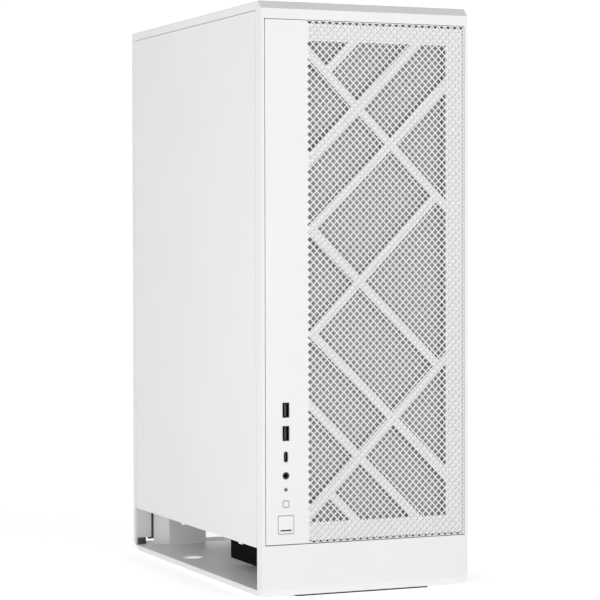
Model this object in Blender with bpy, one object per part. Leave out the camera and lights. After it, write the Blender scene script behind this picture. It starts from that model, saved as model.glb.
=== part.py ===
"""Desktop computer tower: every piece is its own closed solid, named for what it is.

Lengths in this file are millimetres, measured from the tower's front left bottom corner:
x to the right as seen from the front, y to the rear, z up. spot() turns them into the part's
frame, whose origin is the middle of the base, in metres, with the front facing -Y.
"""

import math

import bmesh
import bpy
from mathutils import Vector

MM = 0.001
HALF_PI = math.pi / 2

# Outer size
WIDTH, DEPTH, HEIGHT = 202.0, 348.0, 524.0

# Sheet and gaps
WALL = 2.0            # outer shell
SHEET = 1.2           # inner steel sheet
PANEL = 1.5           # removable panels
GAP = 0.3             # between pieces that touch
SEAM = 0.5            # shadow gap around a removable panel

# Outer shell
FOOT_LIFT = 1.5       # underside of the shell above the table
FRONT_CHAMFER = 7.0
REAR_CHAMFER_DEEP, REAR_CHAMFER_HIGH = 15.0, 7.0
EDGE_ROUND = 1.2
SIDE_OPEN_Y = (13.0, 338.0)
SIDE_OPEN_Z = (44.0, 516.0)
PLINTH_OPEN_Y = (12.0, 341.0)
PLINTH_FLOOR, PLINTH_CEILING = 7.0, 44.0
COLUMN_X, COLUMN_Y = (19.0, 29.5, 69.0), (322.0, 340.0)  # foot of the slant, then the face
FACE_X = (3.1, 198.5)
FACE_Z = (47.0, 508.0)
REAR_OPEN_X, REAR_OPEN_Z = (9.0, 193.0), (9.0, 515.0)
TOP_OPEN_X, TOP_OPEN_Y = (8.0, 194.0), (18.0, 334.0)
BASE_OPEN_X, BASE_OPEN_Y = (12.0, 190.0), (20.0, 316.0)

# Front panel: coarse cuts with the same open share as the fine perforation
FACE_DEPTH = 0.3
FACE_THICK = 1.0
MESH_X = (44.5, 197.5)
MESH_PITCH_X, MESH_PITCH_Z = 30.2, 32.6
MESH_BAR = 6.0
RIM_WIDTH = 0.6

# Lattice plate behind the front panel
LATTICE_X, LATTICE_Z = (40.0, 197.0), (50.0, 505.0)
WINDOW_X, WINDOW_Z = (44.5, 180.0), (65.6, 489.8)
LATTICE_Y = 1.6
LATTICE_BAR = 8.0
LATTICE_REACH = 5.0   # how far a bar runs into the border

# Controls on the solid strip of the front panel
CONTROL_X = 22.8
USB_A_Z = (165.9, 145.4)
USB_A_HOLE = (6.7, 13.3)
USB_C_Z, USB_C_HOLE = 124.7, (3.9, 9.4)
AUDIO_Z, AUDIO_HOLE = 108.2, 6.3
LAMP_Z, LAMP_HOLE = 95.9, 3.0
RESET_Z, RESET_HOLE, RESET_CAP = 83.3, 5.8, 4.9
POWER_Z, POWER_HOLE, POWER_CAP = 65.0, (15.0, 16.2), (14.2, 15.4)
BOARD_Y = 18.0        # front face of the front port board
PORT_LIP = 0.6        # mouth of a port behind the shell's front

# Fans
FAN_THICK = 25.0
FAN_HOLES = {140.0: 124.5, 120.0: 105.0}
SCREW_HOLE = 2.2
FRONT_FAN_X = 112.0
FRONT_FAN_Z = (137.7, 277.7, 417.7)
BRACKET_Y = 22.0
BASE_FAN = (101.0, 91.0)
BASE_FAN_TOP = 41.0   # pads hold the fan this far below the floor above it
REAR_FAN = (71.0, 395.0)
SHAFT, SHAFT_HOLE = 1.5, 1.6
BLADE_FILL = 0.82     # share of the turn that the blades cover at the hub
BLADE_PITCH = 0.55    # most that a blade leans, as the sine of the angle
BLADE_CAMBER, BLADE_THICK, BLADE_SWEEP = 0.07, 1.6, 0.4

# Rear wall and what plugs into it
REAR_Y = 338.6
REAR_LEG_WIDE, REAR_LEG_LOW = 15.5, 14.0
IO_X, IO_Z = (131.0, 175.45), (305.0, 463.75)
SLOT_PITCH, SLOT_TOP, SLOT_COUNT = 20.32, 281.0, 7
SLOT_X = (60.0, 176.0)
CARD_SLOTS = (1, 2)
PSU_WALL = 1.4
PSU_X, PSU_Y, PSU_Z = (26.0, 176.0), (198.3, 338.3), (46.2, 132.2)
PSU_HOLE_X, PSU_HOLE_Z = (30.0, 172.0), (51.0, 128.0)
INLET_X, SWITCH_X, INLET_Z = 52.0, 82.0, 89.0

# Motherboard, standing against the right-hand side
BOARD_X = 175.0
BOARD_THICK = 1.6
MAIN_Y, MAIN_Z = (92.0, 336.0), (165.0, 470.0)
TRAY_X = 183.0
CPU_Y, CPU_Z = 258.0, 395.0
TOP_PLATE_Z = 508.0
TOP_FANS_Y = (98.0, 240.0)

WHITE = ((0.84, 0.835, 0.82), 0.0, 0.42)
WHITE_PLASTIC = ((0.82, 0.82, 0.81), 0.0, 0.5)
BLACK = ((0.02, 0.02, 0.022), 0.0, 0.5)
DARK_PLASTIC = ((0.05, 0.05, 0.055), 0.0, 0.55)
RUBBER = ((0.025, 0.025, 0.025), 0.0, 0.85)
CLOTH = ((0.3, 0.3, 0.3), 0.0, 0.9)
STEEL = ((0.55, 0.56, 0.57), 1.0, 0.35)
ALUMINIUM = ((0.72, 0.73, 0.74), 1.0, 0.38)
CIRCUIT = ((0.03, 0.05, 0.04), 0.0, 0.45)
GREY_PLASTIC = ((0.35, 0.36, 0.37), 0.0, 0.5)
LAMP = ((0.75, 0.8, 0.82), 0.0, 0.2)


def spot(x, y, z):
    return Vector(((x - WIDTH / 2) * MM, (y - DEPTH / 2) * MM, z * MM))


# ---------------------------------------------------------------- building blocks

def add_prism(bm, outline, axis, low, high):
    """A closed prism: a flat outline, pushed along an axis from low to high."""
    def corner(a, b, t):
        return {"X": (t, a, b), "Y": (a, t, b), "Z": (a, b, t)}[axis]
    near = [bm.verts.new(corner(a, b, low)) for a, b in outline]
    far = [bm.verts.new(corner(a, b, high)) for a, b in outline]
    bm.faces.new(near)
    bm.faces.new(list(reversed(far)))
    for i in range(len(outline)):
        j = (i + 1) % len(outline)
        bm.faces.new((near[i], far[i], far[j], near[j]))


def rectangle(a, b):
    return [(a[0], b[0]), (a[1], b[0]), (a[1], b[1]), (a[0], b[1])]


def around(centre, size):
    return (centre - size / 2, centre + size / 2)


def add_box(bm, x, y, z):
    add_prism(bm, rectangle(x, y), "Z", z[0], z[1])


def circle(centre, radius, steps):
    return [(centre[0] + radius * math.cos(math.tau * i / steps),
             centre[1] + radius * math.sin(math.tau * i / steps)) for i in range(steps)]


def rounded(a, b, radius, steps=3):
    """A rectangle over the ranges a and b, with round corners."""
    points = []
    corners = [(a[1] - radius, b[1] - radius, 0), (a[0] + radius, b[1] - radius, 1),
               (a[0] + radius, b[0] + radius, 2), (a[1] - radius, b[0] + radius, 3)]
    for ca, cb, turn in corners:
        for i in range(steps + 1):
            angle = HALF_PI * (turn + i / steps)
            points.append((ca + radius * math.cos(angle), cb + radius * math.sin(angle)))
    return points


def look_of(name, look):
    colour, metal, rough = look
    material = bpy.data.materials.new(name)
    material.use_nodes = True
    shader = material.node_tree.nodes["Principled BSDF"]
    shader.inputs["Base Color"].default_value = (*colour, 1.0)
    shader.inputs["Metallic"].default_value = metal
    shader.inputs["Roughness"].default_value = rough
    return material


def place(name, bm, origin, turn, local):
    bmesh.ops.recalc_face_normals(bm, faces=bm.faces)
    if origin is None:
        low = [min(v.co[i] for v in bm.verts) for i in range(3)]
        high = [max(v.co[i] for v in bm.verts) for i in range(3)]
        origin = [(a + b) / 2 for a, b in zip(low, high)]
    shift = Vector((0, 0, 0)) if local else Vector(origin)
    for v in bm.verts:
        v.co = (v.co - shift) * MM
    mesh = bpy.data.meshes.new(name)
    bm.to_mesh(mesh)
    bm.free()
    obj = bpy.data.objects.new(name, mesh)
    obj.location = spot(*origin)
    obj.rotation_euler = turn
    bpy.context.scene.collection.objects.link(obj)
    return obj


def make(name, bm, look, origin=None, turn=(0, 0, 0), local=False):
    """One sub-part. Local meshes are already drawn around their origin."""
    obj = place(name, bm, origin, turn, local)
    obj.data.materials.append(look_of(name, look))
    obj["origin_mm"] = list(origin) if origin else [0, 0, 0]
    return obj


def shape(obj, operation, bm, local=False):
    """Cuts the solids in bm out of a sub-part, or joins them to it."""
    number = len(obj.modifiers)
    origin = list(obj["origin_mm"]) if local else None
    turn = obj.rotation_euler if local else (0, 0, 0)
    tool = place(f"tool_{obj.name}_{number}", bm, origin, turn, local)
    tool.hide_render = True
    tool.display_type = "WIRE"
    step = obj.modifiers.new(f"step_{number}", "BOOLEAN")
    step.operation = operation
    step.solver = "EXACT"
    step.object = tool


def cut(obj, bm, local=False):
    shape(obj, "DIFFERENCE", bm, local)


def join(obj, bm, local=False):
    shape(obj, "UNION", bm, local)


def block(name, x, y, z, look, corner=0.0, along="Z"):
    """A rounded block over three ranges, its round edges running along one axis."""
    bm = bmesh.new()
    spans = {"X": (y, z, x), "Y": (x, z, y), "Z": (x, y, z)}[along]
    outline = rounded(spans[0], spans[1], corner, 2) if corner else rectangle(spans[0], spans[1])
    add_prism(bm, outline, along, spans[2][0], spans[2][1])
    return make(name, bm, look)


def add_slots_in_circle(bm, centre, radius, axis, low, high, pitch, width, keep=0.0):
    """Parallel slots that fill a circle, each with a bar left in its middle."""
    rows = int(radius // pitch)
    for row in range(-rows, rows + 1):
        middle = row * pitch
        reach = math.sqrt(max(radius ** 2 - (abs(middle) + width / 2) ** 2, 0.0))
        if reach < pitch:
            continue
        for side in (-1, 1):
            span = sorted((centre[0] + side * keep, centre[0] + side * reach))
            add_prism(bm, rectangle(span, around(centre[1] + middle, width)), axis, low, high)


def add_bar(bm, start, end, width, axis, low, high):
    """A straight bar between two points of the plane across an axis."""
    run = Vector((end[0] - start[0], end[1] - start[1])).normalized()
    side = Vector((-run.y, run.x)) * width / 2
    outline = [(p[0] + s * side.x, p[1] + s * side.y)
               for p, s in ((start, 1), (end, 1), (end, -1), (start, -1))]
    add_prism(bm, outline, axis, low, high)


# ---------------------------------------------------------------- fans

def star(hub, reach, bar, arms=4, steps=5):
    """Outline of a motor seat: a disc with straight arms."""
    points = []
    for arm in range(arms):
        angle = math.tau * arm / arms + math.pi / arms
        for radius, side in ((hub, -1), (reach, -1), (reach, 1), (hub, 1)):
            turn = angle + side * math.asin(bar / 2 / radius)
            points.append((radius * math.cos(turn), radius * math.sin(turn)))
        start = angle + math.asin(bar / 2 / hub)
        stop = angle + math.tau / arms - math.asin(bar / 2 / hub)
        for i in range(1, steps):
            turn = start + (stop - start) * i / steps
            points.append((hub * math.cos(turn), hub * math.sin(turn)))
    return points


def add_blade(bm, angle, root, tip, middle, reach, count):
    """A cambered, twisted blade from root to tip radius."""
    sections = 5
    rings = []
    for i in range(sections):
        t = i / (sections - 1)
        radius = root + (tip - root) * t
        chord = math.tau * radius / count * (BLADE_FILL - 0.06 * t)
        pitch = math.asin(min(BLADE_PITCH, 2 * reach / chord))
        ring = []
        for along, side in ((-0.5, 1), (0, 1), (0.5, 1), (0.5, -1), (0, -1), (-0.5, -1)):
            lift = BLADE_CAMBER * chord * (1 - 4 * along * along) + side * BLADE_THICK / 2
            run = along * chord
            tangent = run * math.cos(pitch) - lift * math.sin(pitch)
            rise = run * math.sin(pitch) + lift * math.cos(pitch)
            turn = angle + BLADE_SWEEP * t * t + tangent / radius
            ring.append(bm.verts.new((radius * math.cos(turn), radius * math.sin(turn),
                                      middle + rise)))
        rings.append(ring)
    for ring, order in ((rings[0], 1), (rings[-1], -1)):
        for quad in ((0, 1, 4, 5), (1, 2, 3, 4)):
            bm.faces.new([ring[k] for k in quad][::order])
    for near, far in zip(rings, rings[1:]):
        for i in range(6):
            j = (i + 1) % 6
            # both sides split along the same diagonal, so a thin twisted blade never cuts itself
            split = (near[i], far[j]) if i < 3 else (near[j], far[i])
            for third in ((far[i], near[j]) if i < 3 else (near[i], far[j])):
                bm.faces.new((*split, third))


def rotor(name, origin, turn, tip, hub, low, high, look, blades=7, shaft=3.0):
    """Hub cup, blades and shaft, spinning about its own local Z."""
    bm = bmesh.new()
    add_prism(bm, circle((0, 0), hub, 21), "Z", low, high)
    obj = make(name, bm, look, origin, turn, local=True)
    extra = bmesh.new()
    middle, reach = (low + high) / 2, (high - low) / 2 - 0.9
    for i in range(blades):
        add_blade(extra, math.tau * i / blades, hub * 0.9, tip, middle, reach, blades)
    add_prism(extra, circle((0, 0), SHAFT, 12), "Z", low - shaft, low + 1.0)
    join(obj, extra, local=True)
    return obj


def fan(name, origin, size, turn, frame_look, rotor_look, blades=7):
    """A square fan: frame with screw holes and motor seat, and its rotor."""
    half, thick = size / 2, FAN_THICK / 2
    edge = half - GAP / 2
    bm = bmesh.new()
    add_prism(bm, rounded((-edge, edge), (-edge, edge), 7.0), "Z", -thick, thick)
    frame = make(f"{name}_frame", bm, frame_look, origin, turn, local=True)
    holes = bmesh.new()
    add_prism(holes, circle((0, 0), half - 3.0, 32), "Z", -thick - 1, thick + 1)
    for sx in (-1, 1):
        for sy in (-1, 1):
            centre = (sx * FAN_HOLES[size] / 2, sy * FAN_HOLES[size] / 2)
            add_prism(holes, circle(centre, SCREW_HOLE, 8), "Z", -thick - 1, thick + 1)
    cut(frame, holes, local=True)
    seat = bmesh.new()
    add_prism(seat, star(half * 0.3, half - 2.0, 5.0), "Z", -thick, -thick + 3.5)
    join(frame, seat, local=True)
    bore = bmesh.new()
    add_prism(bore, circle((0, 0), SHAFT_HOLE, 12), "Z", -thick - 1, -thick + 5)
    cut(frame, bore, local=True)
    rotor(f"{name}_rotor", origin, turn, half - 5.0, half * 0.3, -thick + 4.1, thick - 1.5,
          rotor_look, blades)


# ---------------------------------------------------------------- case

def outer_shell():
    bm = bmesh.new()
    low, mid = FOOT_LIFT, FOOT_LIFT + FRONT_CHAMFER
    outline = [(0, mid), (FRONT_CHAMFER, low), (DEPTH - REAR_CHAMFER_DEEP, low),
               (DEPTH, low + REAR_CHAMFER_HIGH), (DEPTH, HEIGHT), (FRONT_CHAMFER, HEIGHT),
               (0, HEIGHT - FRONT_CHAMFER)]
    add_prism(bm, outline, "X", 0, WIDTH)
    ends = [e for e in bm.edges if e.verts[0].co.x == e.verts[1].co.x]
    bmesh.ops.bevel(bm, geom=ends, offset=EDGE_ROUND, segments=2, profile=0.5, affect="EDGES")
    shell = make("outer_shell", bm, WHITE)
    slope = WALL * math.tan(math.pi / 8)
    rise = WALL * REAR_CHAMFER_HIGH / REAR_CHAMFER_DEEP / 2
    inner = [(WALL, mid + slope), (FRONT_CHAMFER + slope, low + WALL),
             (DEPTH - REAR_CHAMFER_DEEP - rise, low + WALL),
             (DEPTH - WALL, low + REAR_CHAMFER_HIGH + rise), (DEPTH - WALL, HEIGHT - WALL),
             (FRONT_CHAMFER + slope, HEIGHT - WALL), (WALL, HEIGHT - FRONT_CHAMFER - slope)]
    room = bmesh.new()
    add_prism(room, inner, "X", WALL, WIDTH - WALL)
    cut(shell, room)
    through = (-5.0, WIDTH + 5.0)
    sides = bmesh.new()
    add_box(sides, through, SIDE_OPEN_Y, (PLINTH_CEILING, SIDE_OPEN_Z[1]))
    cut(shell, sides)
    plinth = bmesh.new()
    add_box(plinth, through, PLINTH_OPEN_Y, (PLINTH_FLOOR, PLINTH_CEILING + 1))
    cut(shell, plinth)
    rest = bmesh.new()
    add_box(rest, FACE_X, (-5, 5), FACE_Z)
    add_box(rest, REAR_OPEN_X, (DEPTH - 5, DEPTH + 5), REAR_OPEN_Z)
    add_box(rest, TOP_OPEN_X, TOP_OPEN_Y, (HEIGHT - 5, HEIGHT + 5))
    add_box(rest, BASE_OPEN_X, BASE_OPEN_Y, (-5, 5))
    cut(shell, rest)


def base_pieces():
    inside = (WALL + 0.4, WIDTH - WALL - 0.4)
    floor_z = (PLINTH_FLOOR - PANEL, PLINTH_FLOOR)
    plate = block("base_plate", inside, (6.4, 332.0), floor_z, WHITE)
    rails = bmesh.new()
    for x in (4.0, WIDTH - 6.0):
        add_box(rails, (x, x + 2.0), (9.0, 325.0), (FOOT_LIFT + WALL + GAP, PLINTH_FLOOR - 1.0))
    join(plate, rails)
    holes = bmesh.new()
    add_prism(holes, circle((21.0, 231.0), 10.0, 24), "Z", 0, 10)
    add_prism(holes, circle((9.5, 236.0), 2.5, 12), "Z", 0, 10)
    cut(plate, holes)
    foot, a, b = COLUMN_X
    y0, y1 = COLUMN_Y
    outline = [(a, y0), (b, y0), (b, y1), (b - PANEL, y1), (b - PANEL, y0 + PANEL),
               (a + PANEL / 2, y0 + PANEL), (foot + PANEL, y1), (foot, y1)]
    for side in ("left", "right"):
        bm = bmesh.new()
        if side == "right":
            outline = [(WIDTH - x, y) for x, y in outline]
        add_prism(bm, outline, "Z", PLINTH_FLOOR + GAP, PLINTH_CEILING)
        make(f"rear_column_{side}", bm, WHITE)
    for side, y in (("front", (8.5, 18.5)), ("rear", (319.0, 331.0))):
        block(f"foot_strip_{side}", (36.0, 166.0), y, (0.0, FOOT_LIFT - GAP), RUBBER, 2.0)


def chassis_floor():
    z = (PLINTH_CEILING + GAP, PLINTH_CEILING + 1.8)
    floor = block("chassis_floor", (WALL + 0.4, WIDTH - WALL - 0.4), (14.0, 338.2), z, WHITE)
    pads = bmesh.new()
    half = FAN_HOLES[140.0] / 2
    for sx in (-1, 1):
        for sy in (-1, 1):
            add_prism(pads, circle((BASE_FAN[0] + sx * half, BASE_FAN[1] + sy * half), 5.0, 12), "Z",
                      BASE_FAN_TOP + GAP, z[0] + 0.5)
    join(floor, pads)
    vents = bmesh.new()
    add_slots_in_circle(vents, BASE_FAN, 64.0, "Z", 40, 50, 15.0, 10.0, 3.0)
    add_slots_in_circle(vents, (101.0, 262.0), 52.0, "Z", 40, 50, 15.0, 10.0, 3.0)
    cut(floor, vents)


def rear_panel():
    y = (REAR_Y, REAR_Y + SHEET)
    x = (WALL + 0.4, WIDTH - WALL - 0.4)
    leg, low, top = REAR_LEG_WIDE, REAR_LEG_LOW, PLINTH_CEILING + 2.1
    out, flare = (0.5, WIDTH - 0.5), PLINTH_CEILING - 0.5
    outline = [(out[0], low), (out[0] + leg, low), (out[0] + leg, top), (out[1] - leg, top),
               (out[1] - leg, low), (out[1], low), (out[1], flare), (x[1], flare),
               (x[1], TOP_PLATE_Z - GAP), (x[0], TOP_PLATE_Z - GAP), (x[0], flare), (out[0], flare)]
    bm = bmesh.new()
    add_prism(bm, outline, "Y", *y)
    panel = make("rear_panel", bm, WHITE)
    holes = bmesh.new()
    span = (y[0] - 5, y[1] + 5)
    add_box(holes, IO_X, span, IO_Z)
    slots_low = SLOT_TOP - (SLOT_COUNT - 0.5) * SLOT_PITCH
    add_box(holes, SLOT_X, span, (slots_low, SLOT_TOP + SLOT_PITCH / 2))
    add_box(holes, PSU_HOLE_X, span, PSU_HOLE_Z)
    add_slots_in_circle(holes, REAR_FAN, 56.0, "Y", *span, 9.0, 6.0, 3.0)
    for row in range(4):
        z = around(476.0 + 8.0 * row, 4.5)
        add_box(holes, (24.0, 98.0), span, z)
        add_box(holes, (104.0, 178.0), span, z)
    cut(panel, holes)
    shelf = block("top_bracket", x, (24.0, 338.2), (TOP_PLATE_Z, TOP_PLATE_Z + SHEET), WHITE)
    holes = bmesh.new()
    for middle in TOP_FANS_Y:
        add_prism(holes, circle((101.0, middle), 65.0, 32), "Z", 500, 515)
        for sx in (-1, 1):
            for sy in (-1, 1):
                half = FAN_HOLES[140.0] / 2
                centre = (101.0 + sx * half, middle + sy * half)
                add_prism(holes, circle(centre, SCREW_HOLE, 16), "Z", 500, 515)
    cut(shelf, holes)


def side_panel(name, mirror):
    """Flat plate with a folded rim inside and two small feet under its lower edge."""
    def across(low, high):
        return (WIDTH - high, WIDTH - low) if mirror else (low, high)
    y = (SIDE_OPEN_Y[0] + SEAM, SIDE_OPEN_Y[1] - SEAM)
    z = (SIDE_OPEN_Z[0] + 0.4, SIDE_OPEN_Z[1] - SEAM)
    panel = block(name, across(0.0, PANEL), y, z, WHITE, 1.0, "X")
    rim = bmesh.new()
    ring_y, ring_z, deep = (26.0, 336.0), (48.0, 505.0), across(PANEL - 0.5, 8.0)
    for edge in (ring_y[0], ring_y[1] - SHEET):
        add_box(rim, deep, (edge, edge + SHEET), (ring_z[0] + 10.0, ring_z[1] - 10.0))
    for edge in (ring_z[0], ring_z[1] - SHEET):
        add_box(rim, deep, (ring_y[0] + 5.0, ring_y[1] - 5.0), (edge, edge + SHEET))
    for middle in (53.0, 202.0):
        add_box(rim, across(0.3, PANEL - 0.3), around(middle, 8.0), (z[0] - 1.5, z[0] + 0.5))
    join(panel, rim)


def top_panel():
    x = (TOP_OPEN_X[0] + SEAM, TOP_OPEN_X[1] - SEAM)
    y = (TOP_OPEN_Y[0] + SEAM, TOP_OPEN_Y[1] - SEAM)
    panel = block("top_panel", x, y, (HEIGHT - PANEL - 0.2, HEIGHT - 0.2), WHITE, 1.0)
    rim = bmesh.new()
    low, high = TOP_PLATE_Z + SHEET + GAP, HEIGHT - PANEL
    for edge in (x[0] + 3.0, x[1] - 3.0 - SHEET):
        add_box(rim, (edge, edge + SHEET), (y[0] + 8.0, y[1] - 8.0), (low, high))
    join(panel, rim)
    slots = bmesh.new()
    for column in range(15):
        middle = 101.0 + (column - 7) * 10.6
        for span in ((40.0, 172.0), (180.0, 312.0)):
            add_prism(slots, rectangle(around(middle, 5.0), span), "Z", 515, 530)
    cut(panel, slots)


# ---------------------------------------------------------------- front cover and controls

def front_panel():
    x = (FACE_X[0] + SEAM, FACE_X[1] - SEAM)
    z = (FACE_Z[0] + SEAM, FACE_Z[1] - SEAM)
    y = (FACE_DEPTH, FACE_DEPTH + FACE_THICK)
    panel = block("front_panel", x, y, z, WHITE, 1.0, "Y")
    rims = bmesh.new()
    for middle in USB_A_Z:
        add_prism(rims, rounded(around(CONTROL_X, USB_A_HOLE[0] + 2 * RIM_WIDTH),
                                around(middle, USB_A_HOLE[1] + 2 * RIM_WIDTH), 0.8), "Y", 0, 1)
    join(panel, rims)
    through = (-2.0, 5.0)
    holes = bmesh.new()
    for middle in USB_A_Z:
        add_prism(holes, rounded(around(CONTROL_X, USB_A_HOLE[0]), around(middle, USB_A_HOLE[1]),
                                 0.5), "Y", *through)
    add_prism(holes, rounded(around(CONTROL_X, USB_C_HOLE[0]), around(USB_C_Z, USB_C_HOLE[1]),
                             1.9), "Y", *through)
    add_prism(holes, circle((CONTROL_X, AUDIO_Z), AUDIO_HOLE / 2, 24), "Y", *through)
    add_prism(holes, circle((CONTROL_X, LAMP_Z), LAMP_HOLE / 2, 16), "Y", *through)
    add_prism(holes, rounded(around(CONTROL_X, RESET_HOLE), around(RESET_Z, RESET_HOLE), 0.6),
              "Y", *through)
    add_prism(holes, rounded(around(CONTROL_X, POWER_HOLE[0]), around(POWER_Z, POWER_HOLE[1]),
                             1.2), "Y", *through)
    add_diamonds(holes, through)
    cut(panel, holes)


def add_diamonds(bm, through):
    """Two interleaved grids of diamond holes inside the mesh field."""
    half_x = MESH_PITCH_X / 2 - MESH_BAR * math.sqrt(0.5)
    half_z = MESH_PITCH_Z / 2 - MESH_BAR * math.sqrt(0.5)
    middle_x, middle_z = sum(MESH_X) / 2, sum(FACE_Z) / 2
    columns = int((MESH_X[1] - MESH_X[0]) // MESH_PITCH_X)
    rows = 2 * int((FACE_Z[1] - FACE_Z[0]) // MESH_PITCH_Z) - 1
    for row in range(rows):
        for column in range(columns - row % 2):
            x = middle_x + (column - (columns - 1 - row % 2) / 2) * MESH_PITCH_X
            z = middle_z + (row - (rows - 1) / 2) * MESH_PITCH_Z / 2
            outline = [(x - half_x, z), (x, z - half_z), (x + half_x, z), (x, z + half_z)]
            add_prism(bm, outline, "Y", *through)


def lattice():
    """Stiffening plate behind the mesh: a border crossed by bars at 45 degrees."""
    y = (LATTICE_Y, LATTICE_Y + PANEL)
    plate = block("front_lattice", LATTICE_X, y, LATTICE_Z, WHITE)
    window = bmesh.new()
    add_box(window, WINDOW_X, (y[0] - 2, y[1] + 2), WINDOW_Z)
    cut(plate, window)
    left, right, low, high = WINDOW_X[0], WINDOW_X[1], WINDOW_Z[0], WINDOW_Z[1]
    rising = [((left, 383.3), (151.0, high)), ((48.5, 325.2), (right, 453.9)),
              ((49.8, 232.8), (168.5, 352.6)), ((left, 71.6), (right, 208.0)),
              ((64.5, 465.2), (89.1, high))]
    falling = [((left, 480.6), (right, 345.0)), ((48.5, 323.6), (168.0, 205.9)),
               ((49.8, 231.2), (right, 103.2)), ((left, 171.4), (150.3, low)),
               ((64.8, 91.4), (90.6, low))]
    reach = LATTICE_REACH * math.sqrt(0.5)
    for bars, slope in ((rising, 1), (falling, -1)):
        bm = bmesh.new()
        for start, end in bars:
            a = (start[0] - reach, start[1] - slope * reach)
            b = (end[0] + reach, end[1] + slope * reach)
            add_bar(bm, a, b, LATTICE_BAR, "Y", *y)
        join(plate, bm)


def filter_pieces():
    x, z, y = (39.0, 185.0), (60.0, 496.0), (9.0, 12.0)
    frame = block("filter_frame", x, y, z, WHITE_PLASTIC, 4.0, "Y")
    holes = bmesh.new()
    field = (z[1] - z[0] - 8.0) / 3
    for i in range(3):
        low = z[0] + 4.0 + field * i
        add_box(holes, (x[0] + 5.0, x[1] - 5.0), (y[0] - 2, y[1] + 2), (low + 1.5, low + field - 1.5))
    cut(frame, holes)
    block("filter_cloth", (x[0] + 1.5, x[1] - 1.5), (y[0] - 0.8, y[0] - GAP), (z[0] + 1.5, z[1] - 1.5),
          CLOTH)


def front_controls():
    block("port_board", (10.0, 36.0), (BOARD_Y, BOARD_Y + BOARD_THICK), (52.0, 178.0), CIRCUIT,
          2.0, "Y")
    for name, middle in zip(("upper", "lower"), USB_A_Z):
        socket(f"usb_a_{name}", middle, (6.1, 12.7), 0.4, 0.5, (1.9, 10.8))
    socket("usb_c", USB_C_Z, (3.3, 8.8), 0.35, 1.5, (0.7, 6.6))
    bm = bmesh.new()
    add_prism(bm, circle((CONTROL_X, AUDIO_Z), 2.95, 24), "Y", PORT_LIP, BOARD_Y - GAP)
    jack = make("audio_jack", bm, BLACK)
    bore = bmesh.new()
    add_prism(bore, circle((CONTROL_X, AUDIO_Z), 1.8, 24), "Y", -1, 15.0)
    cut(jack, bore)
    bm = bmesh.new()
    add_prism(bm, circle((CONTROL_X, LAMP_Z), 1.3, 16), "Y", PORT_LIP, BOARD_Y - GAP)
    make("activity_lamp", bm, LAMP)
    button("reset_button", RESET_Z, (RESET_CAP, RESET_CAP), 0.5, 1.2, 1.4)
    power = button("power_button", POWER_Z, POWER_CAP, 1.0, 2.2, 1.9)
    bar = bmesh.new()
    bar_z = around(POWER_Z - 5.0, 1.4)
    add_box(bar, around(CONTROL_X, 10.4), (-1.0, 1.2), bar_z)
    cut(power, bar)
    block("power_indicator", around(CONTROL_X, 10.0), (0.35, 1.0), around(POWER_Z - 5.0, 1.0), BLACK)


def socket(name, middle, outer, wall, corner, tongue):
    """A connector shell, open at the front, with its contact tongue."""
    bm = bmesh.new()
    end = BOARD_Y - GAP
    add_prism(bm, rounded(around(CONTROL_X, outer[0]), around(middle, outer[1]), corner), "Y",
              PORT_LIP, end)
    obj = make(name, bm, STEEL)
    hole = bmesh.new()
    inner = [size - 2 * wall for size in outer]
    add_prism(hole, rounded(around(CONTROL_X, inner[0]), around(middle, inner[1]),
                            max(corner - wall, 0.3)), "Y", -1, end - 4.0)
    cut(obj, hole)
    blade = bmesh.new()
    add_box(blade, around(CONTROL_X, tongue[0]), (PORT_LIP + 1.2, end - 3.0),
            around(middle, tongue[1]))
    join(obj, blade)


def button(name, middle, cap, corner, stem, clear):
    """A push cap on a stem; its origin lies on the line it travels."""
    bm = bmesh.new()
    add_prism(bm, rounded(around(CONTROL_X, cap[0]), around(middle, cap[1]), corner), "Y",
              FACE_DEPTH, 6.0)
    obj = make(name, bm, WHITE_PLASTIC, (CONTROL_X, FACE_DEPTH, middle))
    rod = bmesh.new()
    add_prism(rod, circle((CONTROL_X, middle), stem, 12), "Y", 5.0, BOARD_Y - clear)
    join(obj, rod)
    return obj


# ---------------------------------------------------------------- inside

def front_bracket():
    y = (BRACKET_Y, BRACKET_Y + SHEET)
    plate = block("front_bracket", (3.0, 199.0), y, (46.1, TOP_PLATE_Z - GAP), WHITE)
    holes = bmesh.new()
    span = (y[0] - 2, y[1] + 2)
    for middle in FRONT_FAN_Z:
        add_prism(holes, circle((FRONT_FAN_X, middle), 66.0, 28), "Y", *span)
        for sx in (-1, 1):
            for sz in (-1, 1):
                half = FAN_HOLES[140.0] / 2
                centre = (FRONT_FAN_X + sx * half, middle + sz * half)
                add_prism(holes, circle(centre, SCREW_HOLE, 8), "Y", *span)
    add_box(holes, (14.0, 32.0), span, (185.0, 240.0))
    cut(plate, holes)


def tray():
    plate = block("motherboard_tray", (TRAY_X, TRAY_X + SHEET), (50.0, 338.2),
                  (46.1, TOP_PLATE_Z - GAP), WHITE)
    posts = bmesh.new()
    for y in (104.0, 214.0, 324.0):
        for z in (172.0, 317.0, 462.0):
            add_prism(posts, circle((y, z), 3.0, 6), "X", BOARD_X + BOARD_THICK + GAP, TRAY_X + 0.5)
    join(plate, posts)
    holes = bmesh.new()
    span = (TRAY_X - 1, TRAY_X + 3)
    add_prism(holes, rounded((225.0, 300.0), (350.0, 440.0), 6.0), "X", *span)
    for z in (190.0, 320.0):
        add_prism(holes, rounded((62.0, 82.0), (z, z + 60.0), 6.0), "X", *span)
    add_prism(holes, rounded((150.0, 200.0), (480.0, 498.0), 6.0), "X", *span)
    cut(plate, holes)
    block("solid_state_drive", (TRAY_X + SHEET + GAP, TRAY_X + SHEET + GAP + 7.0), (100.0, 200.0),
          (210.0, 280.0), DARK_PLASTIC, 2.0, "X")


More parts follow.
